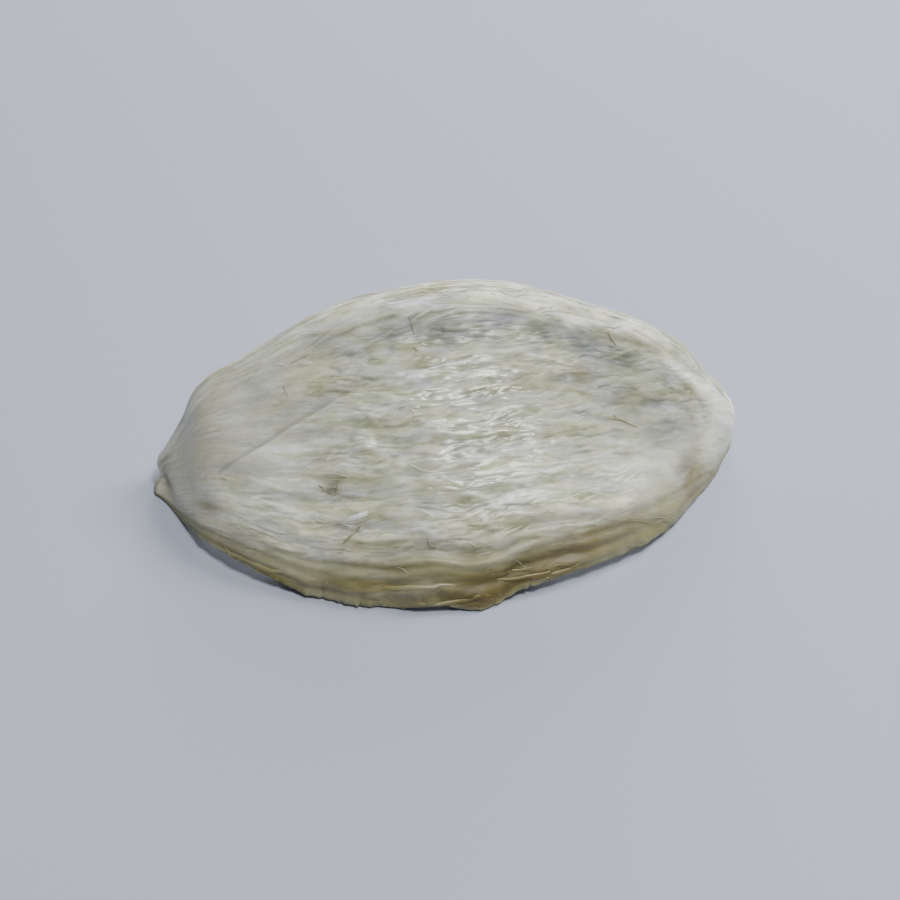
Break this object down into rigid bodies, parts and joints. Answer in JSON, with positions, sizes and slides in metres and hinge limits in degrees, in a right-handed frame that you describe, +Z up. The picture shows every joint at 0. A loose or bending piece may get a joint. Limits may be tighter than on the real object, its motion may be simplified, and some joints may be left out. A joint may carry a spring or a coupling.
{
  "type": "edible bird nest",
  "caption": "Dried half-cup nest of hardened pale strands with two feet, a thick attached edge, a smooth arched lip and an open hollow, lying on its attached edge.",
  "frame": {"origin": "centre of the nest's footprint box, on the table", "axes": "+X along the line of the feet to the right foot, +Y to the open back, +Z up"},
  "size_m": [0.113, 0.0526, 0.0382],
  "materials": {
    "nest_strands": "pale cream, slightly glossy fine strands, yellower and stained at the thick attached edge"
  },
  "bodies": {
    "root": {"nest": "nest_strands"}
  },
  "joints": []
}
